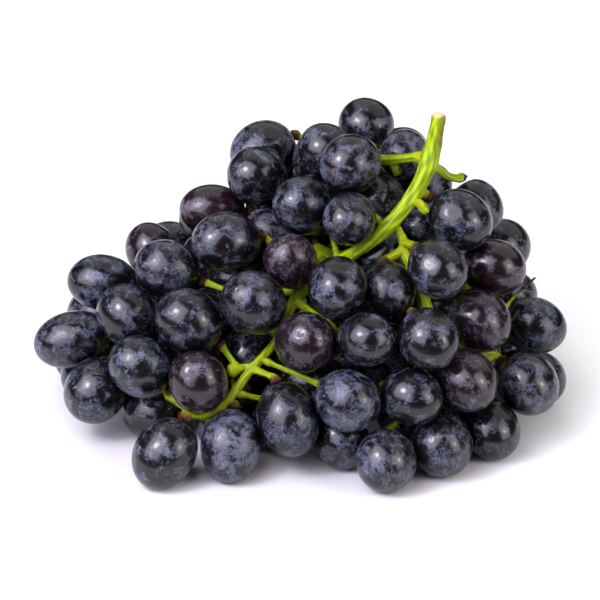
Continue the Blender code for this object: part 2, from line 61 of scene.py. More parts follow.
# %% Camera
VIEW_TILT = math.radians(28)
VIEW_WIDTH = 213 * MM
CAMERA_DISTANCE = 3.0
LOOK_AT = Vector((-0.4, 0.0, 40.1)) * MM

TOWARDS_CAMERA = Vector((0, -math.cos(VIEW_TILT), math.sin(VIEW_TILT)))
camera_data = bpy.data.cameras.new("camera")
camera_data.sensor_width = 36
camera_data.lens = camera_data.sensor_width * CAMERA_DISTANCE / VIEW_WIDTH
camera_data.clip_end = 20
camera = bpy.data.objects.new("camera", camera_data)
camera.location = LOOK_AT + TOWARDS_CAMERA * CAMERA_DISTANCE
camera.rotation_euler = TOWARDS_CAMERA.to_track_quat("Z", "Y").to_euler()
bpy.context.scene.collection.objects.link(camera)
bpy.context.scene.camera = camera
print("lens:", round(camera_data.lens), "mm")

# %% [markdown]
# ## Nodes and colours
#
# Materials are trees of nodes. One function adds a node, sets its options, and fills its
# inputs with a value or a link. Another turns the hex colour that an artist picks into
# the linear numbers that the renderer works with. A third starts a material.


# %% Helpers for materials
def add_node(tree, kind, inputs=None, **options):
    """A new node. inputs maps a socket's name or number to a value, or to what feeds it."""
    made = tree.nodes.new(kind)
    for option, value in options.items():
        setattr(made, option, value)
    for key, value in (inputs or {}).items():
        if isinstance(value, bpy.types.NodeSocket):
            tree.links.new(value, made.inputs[key])
        else:
            made.inputs[key].default_value = value
    return made


def linear(hex_colour, alpha=1.0):
    """An sRGB hex colour such as "6b7ea3" as linear RGBA."""
    parts = [int(hex_colour[k : k + 2], 16) / 255 for k in (0, 2, 4)]
    return (*[c / 12.92 if c <= 0.04045 else ((c + 0.055) / 1.055) ** 2.4 for c in parts], alpha)


def new_material(name):
    """An empty material, its tree, and its Principled shader."""
    made = bpy.data.materials.new(name)
    made.use_nodes = True
    return made, made.node_tree, made.node_tree.nodes["Principled BSDF"]


# The numbered sockets of a Mix node that mixes colours.
COLOUR_A, COLOUR_B, COLOUR_OUT = 6, 7, 2

# %% [markdown]
# ## The table and the light
#
# The bunch lies on matt white card in a dim room. A square softbox stands high at the
# front left and a narrower, weaker one at the right. Each has a lamp behind its cloth,
# which shows as a hot core in the middle. A wide panel overhead lifts the shadows. On
# glossy dark fruit the lights' own shapes show as reflections, so their sizes and
# places matter as much as their strength. So does where the card ends: just in front of
# the bunch, which leaves the berries' lower sides dark but for a narrow band of white.
#
# White card far from the lamps would look grey, so it glows a little. Under the bunch it
# lies in shade, so an oval there keeps that glow off.

# %% White card on a grey table
CARD_WIDTH, CARD_FRONT, CARD_BACK = 1.0, -0.17, 1.2
CARD_GLOW = 0.42
TABLE_SIZE, CARD_THICKNESS = 12.0, 0.001
# Half the width and depth of the oval, and the shares of them where the glow starts and is full.
SHADE_ACROSS, SHADE_DEEP = 0.090, 0.082
FULL_SHADE, NO_SHADE = 0.85, 1.3


def add_floor(name, left, right, front, back, height, colour, glow):
    """A flat matt rectangle that glows a little, but not under the bunch."""
    mesh = bpy.data.meshes.new(name)
    bm = bmesh.new()
    bmesh.ops.create_grid(bm, x_segments=1, y_segments=1, size=0.5)
    for v in bm.verts:
        v.co = (right if v.co.x > 0 else left, back if v.co.y > 0 else front, height)
    bm.to_mesh(mesh)
    bm.free()
    made, tree, shader = new_material(name)
    shader.inputs["Base Color"].default_value = linear(colour)
    shader.inputs["Roughness"].default_value = 0.9
    shader.inputs["Specular IOR Level"].default_value = 0.1
    shader.inputs["Emission Color"].default_value = linear("ffffff")
    place = add_node(tree, "ShaderNodeTexCoord").outputs["Object"]
    shares = add_node(
        tree,
        "ShaderNodeVectorMath",
        {0: place, 1: (1 / SHADE_ACROSS, 1 / SHADE_DEEP, 0)},
        operation="MULTIPLY",
    ).outputs[0]
    away = add_node(tree, "ShaderNodeVectorMath", {0: shares}, operation="LENGTH").outputs["Value"]
    lit = add_node(
        tree,
        "ShaderNodeMapRange",
        {"Value": away, "From Min": FULL_SHADE, "From Max": NO_SHADE, "To Min": 0, "To Max": glow},
        interpolation_type="SMOOTHSTEP",
    ).outputs["Result"]
    tree.links.new(lit, shader.inputs["Emission Strength"])
    mesh.materials.append(made)
    floor = bpy.data.objects.new(name, mesh)
    bpy.context.scene.collection.objects.link(floor)


half_card, half_table = CARD_WIDTH / 2, TABLE_SIZE / 2
add_floor("matt_white_card", -half_card, half_card, CARD_FRONT, CARD_BACK, 0, "cccccc", CARD_GLOW)
add_floor(
    "grey_table", -half_table, half_table, -half_table, half_table, -CARD_THICKNESS, "5e5e5e", 0.0
)
print("card:", CARD_WIDTH, "m wide, on a table", TABLE_SIZE, "m wide")

# %% [markdown]
# An area light's face gets darker as it grows, for the same energy. Here each is set by
# how bright its face looks, since that is what the fruit mirrors.

# %% Softboxes
BUNCH_MIDDLE = Vector((0, 0, 45)) * MM


def add_softbox(name, direction, distance, width, height, radiance, colour="ffffff"):
    """A rectangular light aimed at the bunch; radiance is how bright its face looks."""
    data = bpy.data.lights.new(name, "AREA")
    data.shape = "RECTANGLE"
    data.size = width
    data.size_y = height
    data.color = linear(colour)[:3]
    data.energy = radiance * math.pi * width * height
    light = bpy.data.objects.new(name, data)
    away = Vector(direction).normalized()
    light.location = BUNCH_MIDDLE + away * distance
    light.rotation_euler = away.to_track_quat("Z", "Y").to_euler()
    bpy.context.scene.collection.objects.link(light)
    return light


KEY_FROM = (-0.56, -0.48, 0.68)
FILL_FROM = (0.76, -0.51, 0.40)
OVERHEAD_FROM = (0.25, 0.6, 1.0)
add_softbox("key_softbox", KEY_FROM, 0.70, 0.80, 0.80, 5.6, "f0eaff")
add_softbox("key_lamp", KEY_FROM, 0.68, 0.17, 0.17, 30, "f3efff")
add_softbox("fill_softbox", FILL_FROM, 0.75, 0.46, 0.66, 4.0, "f4f4ff")
add_softbox("fill_lamp", FILL_FROM, 0.73, 0.12, 0.12, 18, "ffe0c8")
add_softbox("overhead_panel", OVERHEAD_FROM, 1.5, 3.0, 2.0, 0.9)

world = bpy.data.worlds.new("dim room")
world.use_nodes = True
world.node_tree.nodes["Background"].inputs["Color"].default_value = linear("ffffff")
world.node_tree.nodes["Background"].inputs["Strength"].default_value = 0.04
bpy.context.scene.world = world
bpy.context.scene.view_settings.view_transform = "Standard"
print("lights:", len(bpy.data.lights))

# %% [markdown]
# ## Where the berries are
#
# A CAD node is a coarse solid of one berry, or of a few pressed together. A berry is an
# ellipsoid, so the surface of a fine berry can be found again exactly. A node's triangles
# come loose, so a copy has its corners merged first.

# %% Read a node's corners and faces
WELD = 2e-6


def welded(mesh):
    """The corners and triangles of a mesh whose doubled corners are merged, as arrays."""
    bm = bmesh.new()
    bm.from_mesh(mesh)
    bmesh.ops.remove_doubles(bm, verts=bm.verts, dist=WELD)
    bm.faces.ensure_lookup_table()
    corners = np.array([v.co for v in bm.verts])
    faces = np.array([[v.index for v in f.verts] for f in bm.faces])
    bm.free()
    return corners, faces


stalk_corners, stalk_faces = welded(stalk_node.data)
print("stalk corners:", len(stalk_corners), "faces:", len(stalk_faces))

# %% [markdown]
# To tell which berry a face lies on, step inwards from each face by about a berry's half
# width. The ends of the steps gather around the berries' middles.

# %% Sort the faces by berry
STEP_IN = 10.0 * MM
SAME_BERRY = 5.5 * MM
SLIVER = 1e-6


def group_faces(corners, faces):
    """Which berry each face lies on, or -1 for a sliver, and how many berries there are."""
    a, b, c = corners[faces[:, 0]], corners[faces[:, 1]], corners[faces[:, 2]]
    cross = np.cross(b - a, c - a)
    area = np.linalg.norm(cross, axis=1)
    inside = (a + b + c) / 3 - STEP_IN * cross / np.maximum(area, 1e-12)[:, None]
    middles, owner = [], np.full(len(faces), -1)
    for number in np.argsort(-area):
        if area[number] < SLIVER:
            continue
        gaps = [np.linalg.norm(inside[number] - np.mean(group, axis=0)) for group in middles]
        if gaps and min(gaps) < SAME_BERRY:
            owner[number] = int(np.argmin(gaps))
            middles[owner[number]].append(inside[number])
        else:
            owner[number] = len(middles)
            middles.append([inside[number]])
    return owner, len(middles)


# %% [markdown]
# The corners that belong to one berry alone fix its ellipsoid by least squares. A grape
# is about as wide as it is deep, so the axis whose length is least like the others' is
# the one that runs from its stem to its scar.

# %% Fit one ellipsoid
FIT_SCALE = 10 * MM


def fit_ellipsoid(points):
    """The ellipsoid through points: middle, axes as columns with the odd one last, half sizes."""
    centre = points.mean(axis=0)
    x, y, z = ((points - centre) / FIT_SCALE).T
    terms = np.stack([x * x, y * y, z * z, 2 * x * y, 2 * x * z, 2 * y * z, x, y, z], axis=1)
    p = np.linalg.lstsq(terms, np.ones(len(points)), rcond=None)[0]
    form = np.array([[p[0], p[3], p[4]], [p[3], p[1], p[5]], [p[4], p[5], p[2]]])
    middle = -np.linalg.solve(form, p[6:9]) / 2
    form = form / (1 + middle @ form @ middle)
    strengths, axes = np.linalg.eigh(form)
    order = [1, 2, 0] if strengths[1] - strengths[0] > strengths[2] - strengths[1] else [0, 1, 2]
    return centre + middle * FIT_SCALE, axes[:, order], FIT_SCALE / np.sqrt(strengths[order])


# %% [markdown]
# Each node's berries are found in turn. Corners on the table are left out, since the
# berry is cut flat there. The end nearer to the stalk is the one with the stem.

# %% Find every berry
TABLE_LEVEL = 0.02 * MM
FEWEST_CORNERS = 14

stalk_tree = KDTree(len(stalk_corners))
for number, corner in enumerate(stalk_corners):
    stalk_tree.insert(corner, number)
stalk_tree.balance()

berries = []
for node in berry_nodes:
    corners, faces = welded(node.data)
    owner, count = group_faces(corners, faces)
    for berry in range(count):
        ours = np.unique(faces[owner == berry])
        others = np.unique(faces[owner != berry])
        alone = np.setdiff1d(ours, others)
        alone = alone[corners[alone, 2] > TABLE_LEVEL]
        if len(alone) < FEWEST_CORNERS:
            print("  too few corners:", node.name, berry, len(alone))
            continue
        middle, axes, sizes = fit_ellipsoid(corners[alone])
        ends = [Vector(middle + side * axes[:, 2] * sizes[2]) for side in (1, -1)]
        gaps = [stalk_tree.find(end)[2] for end in ends]
        if gaps[0] < gaps[1]:
            axes = axes * -1
        berries.append({"node": node.name, "middle": middle, "axes": axes, "sizes": sizes})
        berries[-1]["stem_gap"] = min(gaps)
widths = np.array([2000 * b["sizes"][:2].mean() for b in berries])
lengths = np.array([2000 * b["sizes"][2] for b in berries])
print("berries found:", len(berries))
print("width:", widths.min().round(1), "to", widths.max().round(1), "mm")
print("length:", lengths.min().round(1), "to", lengths.max().round(1), "mm")
print("largest gap at a stem:", round(1000 * max(b["stem_gap"] for b in berries), 2), "mm")

# %% [markdown]
# ## The shape of a berry
#
# A grape is nearly an ellipsoid, and the small ways in which it isn't are what make it
# real. It is a little lumpy, it sinks in around its stem, and at the other end it keeps
# a small scar where the flower stood. Soft fruits flatten where they press on each
# other and on the table. A ball of rings around the stem-to-scar axis suits this best,
# because its poles are where the small things are: drawing the rings towards the poles
# gives them enough corners there.

# %% A ball with crowded poles
RINGS, SEGMENTS = 44, 60
BACK_RINGS, BACK_SEGMENTS = 32, 44
POLE_CROWDING = 0.62


def unit_ball(rings, segments):
    """A ball of radius 1 with its poles on Z and its rings crowded towards them."""
    bm = bmesh.new()
    bmesh.ops.create_uvsphere(bm, u_segments=segments, v_segments=rings, radius=1)
    for v in bm.verts:
        polar = math.atan2(math.hypot(v.co.x, v.co.y), v.co.z)
        around = math.atan2(v.co.y, v.co.x)
        polar -= POLE_CROWDING / 2 * math.sin(2 * polar)
        flat = math.sin(polar)
        v.co = (flat * math.cos(around), flat * math.sin(around), math.cos(polar))
    mesh = bpy.data.meshes.new("ball")
    bm.to_mesh(mesh)
    bm.free()
    return mesh


balls = {True: unit_ball(RINGS, SEGMENTS), False: unit_ball(BACK_RINGS, BACK_SEGMENTS)}
print("faces on a front berry:", len(balls[True].polygons))
print("faces on a hidden one:", len(balls[False].polygons))

# %% [markdown]
# The lumps are a few slow sine waves over the ball. The dimple and the scar are smooth
# pits at the poles. A few front berries have dents where something pressed on them.

# %% The fruit by itself
SHAPE_SEED = 11
LUMPS, LUMP_WAVES, LUMP_PACE, ANY_PHASE = 0.012, 7, 1.7, 6.3
DIMPLE_DEPTH, DIMPLE_RADIUS = 0.9 * MM, 3.2 * MM
SCAR_DEPTH, SCAR_RADIUS = 0.18 * MM, 0.55 * MM
UP_FACE = Vector((0, math.sin(VIEW_TILT), math.cos(VIEW_TILT)))
FACE_AXES = np.array([(1, 0, 0), UP_FACE, TOWARDS_CAMERA])
# Dents where something pressed on the skin: how far across and up the berry's face, as shares of
# its radius, then how wide and deep in millimetres.
DENTS = {
    "heart_berry_2": [(-0.2, 0.3, 1.1, 0.7), (0.17, -0.13, 1.6, 0.5)],
    "heart_berry_6": [(0.23, -0.06, 1.7, 0.6)],
    "right_shoulder_berry_1": [(-0.18, 0.21, 1.9, 0.45)],
    "right_shoulder_berry_3": [(-0.27, 0.15, 2.2, 0.4)],
    "left_shoulder_berry_1": [(0.3, -0.1, 2.0, 0.5)],
    "tip_berry_3": [(-0.1, 0.2, 2.4, 0.35)],
    "foot_berry_6": [(0.1, -0.25, 2.2, 0.35)],
    "left_flank_berry_7": [(0.25, 0.1, 1.8, 0.35)],
}


def free_shape(number, directions):
    """The points of berry number from its middle, along its own axes, and how much each is scar."""
    berry = berries[number]
    chance = np.random.default_rng(number + SHAPE_SEED)
    swell = np.zeros(len(directions))
    for _ in range(LUMP_WAVES):
        wave = chance.normal(size=3) * LUMP_PACE
        swell += chance.normal() * np.sin(directions @ wave + chance.uniform(0, ANY_PHASE))
    radius = 1 + LUMPS / 2 * swell
    local = directions * radius[:, None] * berry["sizes"]
    off_axis = np.hypot(local[:, 0], local[:, 1])
    at_scar = directions[:, 2] > 0
    dimple = np.exp(-((off_axis / DIMPLE_RADIUS) ** 2)) * ~at_scar
    scar = np.exp(-((off_axis / SCAR_RADIUS) ** 4)) * at_scar
    local[:, 2] += DIMPLE_DEPTH * dimple - SCAR_DEPTH * scar
    for across, rise, wide, deep in DENTS.get(berry["node"], []):
        outwards = math.sqrt(1 - across**2 - rise**2)
        spot = np.array([across, rise, outwards]) @ FACE_AXES @ berry["axes"]
        gap = np.linalg.norm(directions - spot, axis=1) * berry["sizes"][0]
        local -= directions * (deep * MM * np.exp(-((gap / (wide * MM)) ** 2)))[:, None]
    return local, scar


print("berries with dents:", len(DENTS))

# %% [markdown]
# Two berries that press on each other share a flat patch, midway between the surfaces
# that they would have alone. A point of one that lies in the other is drawn back towards
# its own middle, until it is as deep in one as in the other. Near such a patch the bloom
# is rubbed away, so how near a point lies to one is kept for the skin.

# %% Flatten it where it touches
NEIGHBOURS_WITHIN = 30 * MM
TOUCH_START, TOUCH_REACH = 0.3 * MM, 2.2 * MM
PRESSED_GAP = 0.05 * MM
HALVINGS = 14
HAIR_GAP = 0.002
FRONT_GROUPS = ("crown", "left", "tip", "heart", "foot", "right")


def level_in(points, berry):
    """How far out each point is in a berry: 0 at its middle, 1 on its skin."""
    local = (points - berry["middle"]) @ berry["axes"] / berry["sizes"]
    return np.linalg.norm(local, axis=1)


def smooth_step(values, low, high):
    """0 up to low, 1 from high on, and a soft rise between them."""
    share = np.clip((values - low) / (high - low), 0, 1)
    return share * share * (3 - 2 * share)


def shape_berry(number, directions):
    """The world points of berry number, how near each is to what it touches, and its scar."""
    berry = berries[number]
    local, scar = free_shape(number, directions)
    level = np.linalg.norm(local / berry["sizes"], axis=1)
    points = berry["middle"] + local @ berry["axes"].T
    outwards = points - berry["middle"]
    touch = np.zeros(len(points))
    for neighbour in (berries[other] for other in berry["near"]):
        from_middle = np.linalg.norm(points - neighbour["middle"], axis=1)
        gap = from_middle * (1 - 1 / level_in(points, neighbour))
        touch = np.maximum(touch, 1 - smooth_step(gap, TOUCH_START, TOUCH_REACH))
        pressed = gap < PRESSED_GAP
        low, high = np.full(pressed.sum(), 0.5), np.ones(pressed.sum())
        for _ in range(HALVINGS):
            share = (low + high) / 2
            spots = berry["middle"] + outwards[pressed] * share[:, None]
            deep = level_in(spots, neighbour) < share * level[pressed]
            high = np.where(deep, share, high)
            low = np.where(deep, low, share)
        points[pressed] = berry["middle"] + outwards[pressed] * (low - HAIR_GAP)[:, None]
    touch = np.maximum(touch, 1 - smooth_step(points[:, 2], TOUCH_START, TOUCH_REACH))
    points[:, 2] = np.maximum(points[:, 2], 0.0)
    return points, touch, scar


middles = np.array([b["middle"] for b in berries])
for number, berry in enumerate(berries):
    gaps = np.linalg.norm(middles - middles[number], axis=1)
    close = (gaps > 0) & (gaps < NEIGHBOURS_WITHIN)
    berry["near"] = [int(other) for other in np.nonzero(close)[0]]
    berry["front"] = berry["node"].startswith(FRONT_GROUPS)
print("neighbours of a berry, at most:", max(len(b["near"]) for b in berries))

# %% [markdown]
# ## The stalk
#
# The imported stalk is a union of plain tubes. Real stems run into each other with soft
# webs, carry fine ridges along their length, and swell into brown warty caps where a
# berry sits. A voxel remesh wraps the tubes in one even skin, and smoothing makes the
# webs. Its cells are smaller than the thinnest stem's radius, so no stem is lost.

# %% Wrap the stems in one skin
STALK_VOXEL = 0.42 * MM
SMOOTH_ROUNDS = 5


def paint(mesh, masks):
    """Keeps each mask on the mesh, one number for each corner, for its material to read."""
    for name, values in masks.items():
        layer = mesh.attributes.new(name, "FLOAT", "POINT")
        layer.data.foreach_set("value", np.asarray(values, np.float32))


def applied(piece):
    """Gives a piece the mesh that its modifiers make, clears them, and returns that mesh."""
    graph = bpy.context.evaluated_depsgraph_get()
    mesh = bpy.data.meshes.new_from_object(piece.evaluated_get(graph))
    piece.modifiers.clear()
    piece.data = mesh
    return mesh


tubes = stalk_node.data.copy()
bm = bmesh.new()
bm.from_mesh(tubes)
bmesh.ops.remove_doubles(bm, verts=bm.verts, dist=WELD)
bm.to_mesh(tubes)
bm.free()
stalk = bpy.data.objects.new("green_stalk", tubes)
bpy.context.scene.collection.objects.link(stalk)
wrap = stalk.modifiers.new("one even skin", "REMESH")
wrap.mode = "VOXEL"
wrap.voxel_size = STALK_VOXEL
wrap.use_smooth_shade = True
soften = stalk.modifiers.new("soft webs", "SMOOTH")
soften.factor = 0.5
soften.iterations = SMOOTH_ROUNDS
wrapped = applied(stalk)
print("stalk faces:", len(wrapped.polygons))

# %% [markdown]
# The ridges follow the stems, so each stem's own direction is needed, and it is the one
# that no surface nearby faces. Around each face of the CAD stalk the squares of the
# normals are summed, and the weakest direction of that sum is the stem's. Two reaches
# are tried, for thin and thick stems, and the clearer one kept. Where stems join,
# neither is clear: that tells where the knots are, which swell.

# %% Find each stem's direction
REACHES = (4.2 * MM, 7.0 * MM)
FEWEST_FACES = 8

ends = stalk_corners[stalk_faces]
face_middles = ends.mean(axis=1)
face_normals = np.cross(ends[:, 1] - ends[:, 0], ends[:, 2] - ends[:, 0])
face_areas = np.linalg.norm(face_normals, axis=1)
face_normals /= np.maximum(face_areas, 1e-15)[:, None]
face_forms = face_normals[:, :, None] * face_normals[:, None, :] * face_areas[:, None, None]
face_tree = KDTree(len(face_middles))
for number, middle in enumerate(face_middles):
    face_tree.insert(middle, number)
face_tree.balance()
face_along = np.zeros_like(face_middles)
face_knot = np.ones(len(face_middles))
for number, middle in enumerate(face_middles):
    for reach in REACHES:
        near = [found[1] for found in face_tree.find_range(middle, reach)]
        strengths, axes = np.linalg.eigh(face_forms[near].sum(axis=0))
        unclear = strengths[0] / max(strengths[1], 1e-15)
        if len(near) >= FEWEST_FACES and unclear < face_knot[number]:
            face_knot[number] = unclear
            face_along[number] = axes[:, 0]
print("stem directions:", len(face_along), "unclear by", round(float(np.median(face_knot)), 3))

# %% [markdown]
# What follows shapes the wrapped skin's corners as arrays: their places, their normals
# and which ones an edge joins. Averaging each corner's value with its neighbours' blurs
# whatever lies on the skin.

# %% The skin's corners as arrays
points = np.empty(len(wrapped.vertices) * 3)
wrapped.vertices.foreach_get("co", points)
points = points.reshape(-1, 3)
normals = np.empty(len(points) * 3)
wrapped.vertices.foreach_get("normal", normals)
normals = normals.reshape(-1, 3)
edges = np.empty(len(wrapped.edges) * 2, int)
wrapped.edges.foreach_get("vertices", edges)
first, second = edges.reshape(-1, 2).T
neighbours = 1 + np.bincount(edges, minlength=len(points))


def blurred(values, rounds):
    """Each corner's value averaged with its neighbours', this many times over."""
    size = len(values)
    for _ in range(rounds):
        total = values + np.bincount(first, values[second], size)
        total += np.bincount(second, values[first], size)
        values = total / neighbours
    return values


print("corners:", len(points), "edges:", len(first))

# %% [markdown]
# Around a stem the surface normal turns once. Measured from one fixed side, that turn is
# an angle that stays the same along the stem, so waves over it are ridges that run
# lengthwise. Slow sines of the place let them wander.

# %% Ridges along the stems
MOSTLY_UP = np.array([0.3, -0.4, 0.87])
PLAIN_STEM, FULL_KNOT = 0.12, 0.4
KNOT_ROUNDS, EVEN_ROUNDS = 12, 8
# How many ridges go round the stem, and how strong they are.
RIDGES = ((4, 0.5), (7, 0.5), (12, 0.3))
RIDGE_SEED = 5
WANDER_LENGTH, WANDER = 28 * MM, 3

nearest = np.array([face_tree.find(point)[1] for point in points])
knot = blurred(smooth_step(face_knot[nearest], PLAIN_STEM, FULL_KNOT), KNOT_ROUNDS)
along = face_along[nearest]
along *= np.where(along @ MOSTLY_UP < 0, -1, 1)[:, None]
along = np.column_stack([blurred(part, EVEN_ROUNDS) for part in along.T])
facing = np.column_stack([blurred(part, EVEN_ROUNDS) for part in normals.T])
side = np.cross(along, TOWARDS_CAMERA)
side /= np.maximum(np.linalg.norm(side, axis=1, keepdims=True), 1e-9)
forward = np.cross(side, along)
angle = np.arctan2((facing * side).sum(axis=1), (facing * forward).sum(axis=1))
chance = np.random.default_rng(RIDGE_SEED)
ridge = np.zeros(len(points))
for waves, strength in RIDGES:
    wander = np.sin(points @ chance.normal(size=3) * 2 * math.pi / WANDER_LENGTH)
    ridge += strength * np.sin(waves * angle + WANDER * wander)
ridge = np.clip(ridge, -1, 1)
print("share of the skin on a knot:", round(float(knot.mean()), 2))

# %% [markdown]
# The caps are brown and rough, the cut end is pale and woody, and a twig that lost its
# berries long ago is dry all over. Each is a mask that stays on the mesh. The twig ends
# at the stalk's rightmost point and the cut is at its highest. Below the cut, one side
# has dried to a brown streak.

# %% Caps, cut end and dry twig
CAP_REACH = 3.6 * MM
CUT_REACH, CUT_WITHIN = 1.2 * MM, 12 * MM
DRY_REACH = 11 * MM
STREAK_LENGTH, STREAK_WITHIN = 14 * MM, 25 * MM
STREAK_STRENGTH = 0.75

stem_ends = [b["middle"] - b["axes"][:, 2] * b["sizes"][2] for b in berries]
cap = np.zeros(len(points))
for end in stem_ends:
    gap = np.linalg.norm(points - end, axis=1)
    cap = np.maximum(cap, 1 - smooth_step(gap, 0.55 * CAP_REACH, CAP_REACH))
cut_point = points[np.argmax(points[:, 2])]
below_cut = cut_point[2] - points[:, 2]
from_cut = np.linalg.norm(points - cut_point, axis=1)
cut = (1 - smooth_step(below_cut, 0.6 * CUT_REACH, CUT_REACH)) * (from_cut < CUT_WITHIN)
twig_point = points[np.argmax(points[:, 0])]
from_twig = np.linalg.norm(points - twig_point, axis=1)
dried_twig = 1 - smooth_step(from_twig, 0.75 * DRY_REACH, DRY_REACH)
right_side = smooth_step(facing[:, 0], 0.05, 0.4)
near_cut = 1 - smooth_step(below_cut, 0.4 * STREAK_LENGTH, STREAK_LENGTH)
streak = right_side * near_cut * smooth_step(ridge, -0.4, 0.3) * (from_cut < STREAK_WITHIN)
dry = np.maximum(dried_twig, STREAK_STRENGTH * streak)
print("cut end at", (cut_point * 1000).round(1), "mm")
print("twig tip at", (twig_point * 1000).round(1), "mm")

# %% [markdown]
# Now every corner moves along its normal. Ridges rise on the stems, knots swell, and
# warts grow on the caps. The dry twig has shrunk in drying, so nothing swells there.
# Last, the skin loses triangles where it is flat, which keeps the ridges and warts.

# %% Lift the ridges and warts
SPECKLE_SPREAD = 2
RIDGE_HEIGHT, WART_HEIGHT = 0.12 * MM, 0.4 * MM
STEM_SWELL, KNOT_SWELL = 0.2 * MM, 0.6 * MM
MOST_TRIANGLES = 185_000

speckle = blurred(chance.normal(size=len(points)), 1)
speckle = np.clip(speckle / speckle.std() / SPECKLE_SPREAD, -1, 1)
lift = RIDGE_HEIGHT * ridge * (1 - cap) + WART_HEIGHT * np.maximum(speckle, -0.3) * cap
lift += (STEM_SWELL + KNOT_SWELL * knot * (1 - cap)) * (1 - dried_twig)
points = points + normals * lift[:, None]
wrapped.vertices.foreach_set("co", points.reshape(-1))
paint(wrapped, {"ridge": ridge, "cap": cap, "cut": cut, "dry": dry, "knot": knot})
wrapped.update()
thin = stalk.modifiers.new("fewer triangles", "DECIMATE")
thin.ratio = MOST_TRIANGLES / (2 * len(wrapped.polygons))
wrapped = applied(stalk)
print("stalk faces after thinning:", len(wrapped.polygons))

# %% [markdown]
# ## Grape skin
#
# Black grape skin is thin, smooth and waxy over dark flesh. Where the wax is rubbed or
# wet it is nearly black with a plum tinge and mirrors the room like any clear coat, with
# an IOR near 1.5. Elsewhere the bloom, a powder of wax flakes, scatters light: it looks
# blue-grey and turns sharp reflections into a haze. So one mask drives both colour and
# roughness. The bloom lies in clouds 3 to 6 mm across, broken by smears about 1 mm wide
# and by finer scratches, and it is thinner where berries touch.

# %% Bloom on the skin
CLOUD_SIZE = 5.0 * MM
SMEAR_SIZE, SMEAR_SHARE = 1.3 * MM, 0.8
SCRATCH_SIZE = 0.5 * MM
WORN_BY_TOUCH = 0.16

skin, tree, shader = new_material("waxy_black_grape_skin")
place = add_node(tree, "ShaderNodeTexCoord").outputs["Object"]
# A berry's dustiness comes in as an attribute. On hidden berries it is lowered as painted shade.
tint, dust, touch, scar = (
    add_node(tree, "ShaderNodeAttribute", attribute_name=name).outputs["Fac"]
    for name in ("tint", "dust", "touch", "scar")
)
clouds = add_node(
    tree,
    "ShaderNodeTexNoise",
    {"Vector": place, "Scale": 1 / CLOUD_SIZE, "Detail": 3.0, "Roughness": 0.55, "Distortion": 0.7},
).outputs["Fac"]
smears = add_node(
    tree,
    "ShaderNodeTexNoise",
    {"Vector": place, "Scale": 1 / SMEAR_SIZE, "Detail": 7.0, "Roughness": 0.72, "Distortion": 1.0},
).outputs["Fac"]
scratches = add_node(
    tree,
    "ShaderNodeTexNoise",
    {"Vector": place, "Scale": 1 / SCRATCH_SIZE, "Detail": 3.0, "Roughness": 0.65, "Distortion": 2.2},
).outputs["Fac"]
# Clouds and smears together, lowered where berries touch and raised by a berry's own dustiness, which
# is lowered on hidden berries as painted shade.
mixed = add_node(
    tree, "ShaderNodeMath", {0: smears, 1: SMEAR_SHARE, 2: clouds}, operation="MULTIPLY_ADD"
).outputs[0]
worn = add_node(
    tree, "ShaderNodeMath", {0: touch, 1: -WORN_BY_TOUCH, 2: mixed}, operation="MULTIPLY_ADD"
).outputs[0]
dusty = add_node(tree, "ShaderNodeMath", {0: worn, 1: dust}, operation="ADD").outputs[0]
cover = add_node(
    tree,
    "ShaderNodeMapRange",
    {"Value": dusty, "From Min": 0.84, "From Max": 1.16, "To Min": 0.0, "To Max": 1.0},
    interpolation_type="SMOOTHSTEP",
).outputs["Result"]
flecked = add_node(
    tree,
    "ShaderNodeMapRange",
    {"Value": scratches, "From Min": 0.38, "From Max": 0.6, "To Min": 0.15, "To Max": 1.0},
).outputs["Result"]
bloom = add_node(tree, "ShaderNodeMath", {0: cover, 1: flecked}, operation="MULTIPLY").outputs[0]
print("nodes for the bloom:", len(tree.nodes))

# %% [markdown]
# The bloom now mixes the dark skin under it with the pale wax. Both lean to plum on some
# berries. A few corky dots, about 0.3 mm across, and the scar are tan. Bare skin is
# glossy and the powdery wax is rougher, and it stands up a little.

# %% Colour and gloss of the skin
SKIN_IOR = 1.48
SPOT_SPACING = 7.0 * MM

under = add_node(
    tree,
    "ShaderNodeMix",
    {0: tint, COLOUR_A: linear("0b0a0c"), COLOUR_B: linear("1c0e12")},
    data_type="RGBA",
).outputs[COLOUR_OUT]
wax = add_node(
    tree,
    "ShaderNodeMix",
    {0: tint, COLOUR_A: linear("5c697e"), COLOUR_B: linear("665f70")},
    data_type="RGBA",
).outputs[COLOUR_OUT]
dusted = add_node(
    tree, "ShaderNodeMix", {0: bloom, COLOUR_A: under, COLOUR_B: wax}, data_type="RGBA"
).outputs[COLOUR_OUT]
cells = add_node(
    tree, "ShaderNodeTexVoronoi", {"Vector": place, "Scale": 1 / SPOT_SPACING}, feature="F1"
).outputs["Distance"]
spot = add_node(
    tree,
    "ShaderNodeMapRange",
    {"Value": cells, "From Min": 0.009, "From Max": 0.024, "To Min": 0.6, "To Max": 0.0},
).outputs["Result"]
marked = add_node(tree, "ShaderNodeMath", {0: spot, 1: scar}, operation="MAXIMUM").outputs[0]
colour = add_node(
    tree,
    "ShaderNodeMix",
    {0: marked, COLOUR_A: dusted, COLOUR_B: linear("5c4636")},
    data_type="RGBA",
).outputs[COLOUR_OUT]
gloss = add_node(
    tree,
    "ShaderNodeMapRange",
    {"Value": bloom, "From Min": 0.0, "From Max": 1.0, "To Min": 0.19, "To Max": 0.4},
).outputs["Result"]
relief = add_node(
    tree, "ShaderNodeMath", {0: clouds, 1: 0.5, 2: bloom}, operation="MULTIPLY_ADD"
).outputs[0]
bump = add_node(
    tree, "ShaderNodeBump", {"Height": relief, "Strength": 0.35, "Distance": 0.12 * MM}
).outputs["Normal"]
tree.links.new(colour, shader.inputs["Base Color"])
tree.links.new(gloss, shader.inputs["Roughness"])
tree.links.new(bump, shader.inputs["Normal"])
shader.inputs["IOR"].default_value = SKIN_IOR
